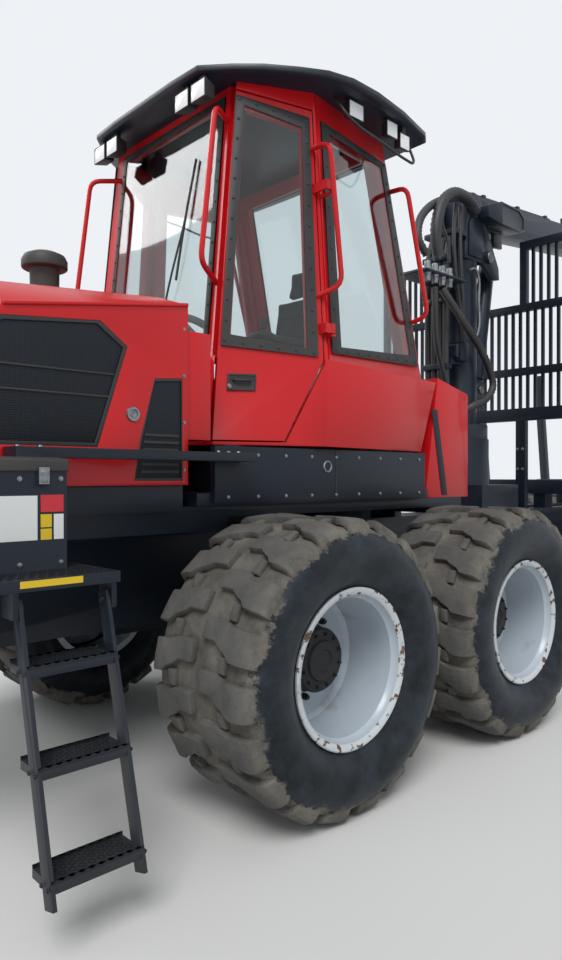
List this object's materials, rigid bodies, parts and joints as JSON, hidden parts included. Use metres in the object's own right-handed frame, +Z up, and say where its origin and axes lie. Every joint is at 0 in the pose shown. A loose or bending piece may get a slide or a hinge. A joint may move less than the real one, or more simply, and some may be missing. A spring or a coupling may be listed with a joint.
{
  "type": "forestry forwarder",
  "caption": "Eight-wheel articulated forestry forwarder with a red cab and hood, loader crane, grapple, headboard and stake bunks.",
  "frame": {"origin": "on the ground under the middle of the machine's box, between the front guard and the parked grapple", "axes": "+X forward, +Y to the machine's left, +Z up"},
  "size_m": [10.4, 2.96, 4.4827],
  "materials": {
    "frame_black": "satin black paint, scuffed",
    "red_paint": "glossy red paint",
    "engine_grey": "cast block",
    "grille_black": "matte black",
    "roof_black": "moulded, satin",
    "window_glass": "clear, slightly grey",
    "seat_cloth": "woven dark grey",
    "cab_plastic": "grained",
    "lamp_white": "clear lens over white reflector",
    "rod_chrome": "ground and plated",
    "hose_rubber": "ribbed wrap",
    "tyre_rubber": "worn, dusty with dried mud in the tread",
    "rim_silver": "silver paint, chipped at the edge"
  },
  "bodies": {
    "front_unit": {"front_frame": "frame_black", "engine": "engine_grey", "battery_box": "frame_black", "cab_body": "red_paint", "cab_roof": "roof_black", "cab_glass": "window_glass", "seat": "seat_cloth", "console": "cab_plastic", "sill_panel": "frame_black", "rear_cover": "red_paint", "work_lamps": "lamp_white", "handrails": "red_paint", "bogie_front_left": "frame_black", "bogie_front_right": "frame_black"},
    "engine_hood": {"hood": "red_paint", "hood_grille": "grille_black"},
    "cab_door": {"door": "red_paint", "door_glass": "window_glass"},
    "step_ladder": {"ladder": "frame_black"},
    "middle_link": {"centre_link": "frame_black"},
    "rear_unit": {"rear_frame": "frame_black", "headboard": "frame_black", "bunks": "frame_black", "bogie_rear_left": "frame_black", "bogie_rear_right": "frame_black"},
    "column": {"crane_pillar": "frame_black", "crane_hoses": "hose_rubber"},
    "boom": {"main_boom": "frame_black"},
    "arm": {"outer_boom": "frame_black"},
    "arm_extension": {"extension": "frame_black"},
    "lift_cylinder": {"lift_barrel": "frame_black"},
    "lift_piston": {"lift_rod": "rod_chrome"},
    "fold_cylinder": {"fold_barrel": "frame_black"},
    "fold_piston": {"fold_rod": "rod_chrome"},
    "link": {"hang_link": "frame_black"},
    "rotator_head": {"rotator": "frame_black"},
    "grapple": {"grapple_frame": "frame_black"},
    "claw_l": {"claw_left": "frame_black"},
    "claw_r": {"claw_right": "frame_black"},
    "wheel_front_left_a": {"tyre_front_left_a": "tyre_rubber", "rim_front_left_a": "rim_silver"},
    "wheel_front_left_b": {"tyre_front_left_b": "tyre_rubber", "rim_front_left_b": "rim_silver"},
    "wheel_front_right_a": {"tyre_front_right_a": "tyre_rubber", "rim_front_right_a": "rim_silver"},
    "wheel_front_right_b": {"tyre_front_right_b": "tyre_rubber", "rim_front_right_b": "rim_silver"},
    "wheel_rear_left_a": {"tyre_rear_left_a": "tyre_rubber", "rim_rear_left_a": "rim_silver"},
    "wheel_rear_left_b": {"tyre_rear_left_b": "tyre_rubber", "rim_rear_left_b": "rim_silver"},
    "wheel_rear_right_a": {"tyre_rear_right_a": "tyre_rubber", "rim_rear_right_a": "rim_silver"},
    "wheel_rear_right_b": {"tyre_rear_right_b": "tyre_rubber", "rim_rear_right_b": "rim_silver"}
  },
  "joints": [
    {"name": "spin_front_left_a", "type": "hinge", "parent": "front_unit", "child": "wheel_front_left_a", "pos_m": [3.365, 1.125, 0.675], "axis": [0, 1, 0], "continuous": true},
    {"name": "spin_front_left_b", "type": "hinge", "parent": "front_unit", "child": "wheel_front_left_b", "pos_m": [1.835, 1.125, 0.675], "axis": [0, 1, 0], "continuous": true},
    {"name": "spin_front_right_a", "type": "hinge", "parent": "front_unit", "child": "wheel_front_right_a", "pos_m": [3.365, -1.125, 0.675], "axis": [0, 1, 0], "continuous": true},
    {"name": "spin_front_right_b", "type": "hinge", "parent": "front_unit", "child": "wheel_front_right_b", "pos_m": [1.835, -1.125, 0.675], "axis": [0, 1, 0], "continuous": true},
    {"name": "spin_rear_left_a", "type": "hinge", "parent": "rear_unit", "child": "wheel_rear_left_a", "pos_m": [-2.235, 1.125, 0.675], "axis": [0, 1, 0], "continuous": true},
    {"name": "spin_rear_left_b", "type": "hinge", "parent": "rear_unit", "child": "wheel_rear_left_b", "pos_m": [-3.765, 1.125, 0.675], "axis": [0, 1, 0], "continuous": true},
    {"name": "spin_rear_right_a", "type": "hinge", "parent": "rear_unit", "child": "wheel_rear_right_a", "pos_m": [-2.235, -1.125, 0.675], "axis": [0, 1, 0], "continuous": true},
    {"name": "spin_rear_right_b", "type": "hinge", "parent": "rear_unit", "child": "wheel_rear_right_b", "pos_m": [-3.765, -1.125, 0.675], "axis": [0, 1, 0], "continuous": true},
    {"name": "steering", "type": "hinge", "parent": "front_unit", "child": "middle_link", "pos_m": [0.8, 0, 1], "axis": [0, 0, 1], "range_deg": [-42, 42]},
    {"name": "frame_roll", "type": "hinge", "parent": "middle_link", "child": "rear_unit", "pos_m": [0.45, 0, 1], "axis": [1, 0, 0], "range_deg": [-15, 15]},
    {"name": "crane_slew", "type": "hinge", "parent": "rear_unit", "child": "column", "pos_m": [0.35, 0, 1.85], "axis": [0, 0, -1], "range_deg": [-120, 120]},
    {"name": "boom_lift", "type": "hinge", "parent": "column", "child": "boom", "pos_m": [0.35, 0, 3.83], "axis": [0, 1, 0], "range_deg": [-8, 72]},
    {"name": "lift_cylinder_swing", "type": "hinge", "parent": "column", "child": "lift_cylinder", "pos_m": [0.11, 0, 2.3], "axis": [0, 1, 0], "range_deg": [-1, 7]},
    {"name": "lift_piston_slide", "type": "slide", "parent": "lift_cylinder", "child": "lift_piston", "axis": [-0.1791, 0, 0.9838], "range_m": [-0.07, 0.6]},
    {"name": "arm_fold", "type": "hinge", "parent": "boom", "child": "arm", "pos_m": [-3.26201, 0, 4.14601], "axis": [0, 1, 0], "range_deg": [-115, 23]},
    {"name": "fold_cylinder_swing", "type": "hinge", "parent": "boom", "child": "fold_cylinder", "pos_m": [-1.74724, 0, 4.24938], "axis": [0, 1, 0], "range_deg": [-3, 1]},
    {"name": "fold_piston_slide", "type": "slide", "parent": "fold_cylinder", "child": "fold_piston", "axis": [-0.9897, 0, 0.1434], "range_m": [-0.14, 0.66]},
    {"name": "arm_extend", "type": "slide", "parent": "arm", "child": "arm_extension", "axis": [-0.9511, 0, -0.309], "range_m": [0, 1.2]},
    {"name": "link_swing", "type": "hinge", "parent": "arm_extension", "child": "link", "pos_m": [-5.05, 0, 3.56506], "axis": [0, -1, 0], "range_deg": [-70, 60]},
    {"name": "side_swing", "type": "hinge", "parent": "link", "child": "rotator_head", "pos_m": [-5.05, 0, 3.41506], "axis": [1, 0, 0], "range_deg": [-45, 45]},
    {"name": "grapple_turn", "type": "hinge", "parent": "rotator_head", "child": "grapple", "pos_m": [-5.05, 0, 3.08506], "axis": [0, 0, 1], "continuous": true},
    {"name": "claw_left_open", "type": "hinge", "parent": "grapple", "child": "claw_l", "pos_m": [-5.05, 0.13, 2.93506], "axis": [1, 0, 0], "range_deg": [0, 80]},
    {"name": "claw_right_open", "type": "hinge", "parent": "grapple", "child": "claw_r", "pos_m": [-5.05, -0.13, 2.93506], "axis": [1, 0, 0], "range_deg": [-80, 0]},
    {"name": "door_hinge", "type": "hinge", "parent": "front_unit", "child": "cab_door", "pos_m": [2.962, 0.915, 2.7], "axis": [0, 0, 1], "range_deg": [0, 85]},
    {"name": "hood_tilt", "type": "hinge", "parent": "front_unit", "child": "engine_hood", "pos_m": [5.06, 0, 1.46], "axis": [0, 1, 0], "range_deg": [0, 45]},
    {"name": "ladder_fold", "type": "hinge", "parent": "front_unit", "child": "step_ladder", "pos_m": [4.64, 1.205, 1.09], "axis": [1, 0, 0], "range_deg": [0, 100]}
  ],
  "couplings": [
    {"joint": "lift_cylinder_swing", "follows": "boom_lift", "ratio": 0.088},
    {"joint": "lift_piston_slide", "follows": "boom_lift", "m_per_rad": 0.466},
    {"joint": "fold_cylinder_swing", "follows": "arm_fold", "ratio": 0.022},
    {"joint": "fold_piston_slide", "follows": "arm_fold", "m_per_rad": -0.3215},
    {"joint": "claw_right_open", "follows": "claw_left_open", "ratio": -1}
  ]
}
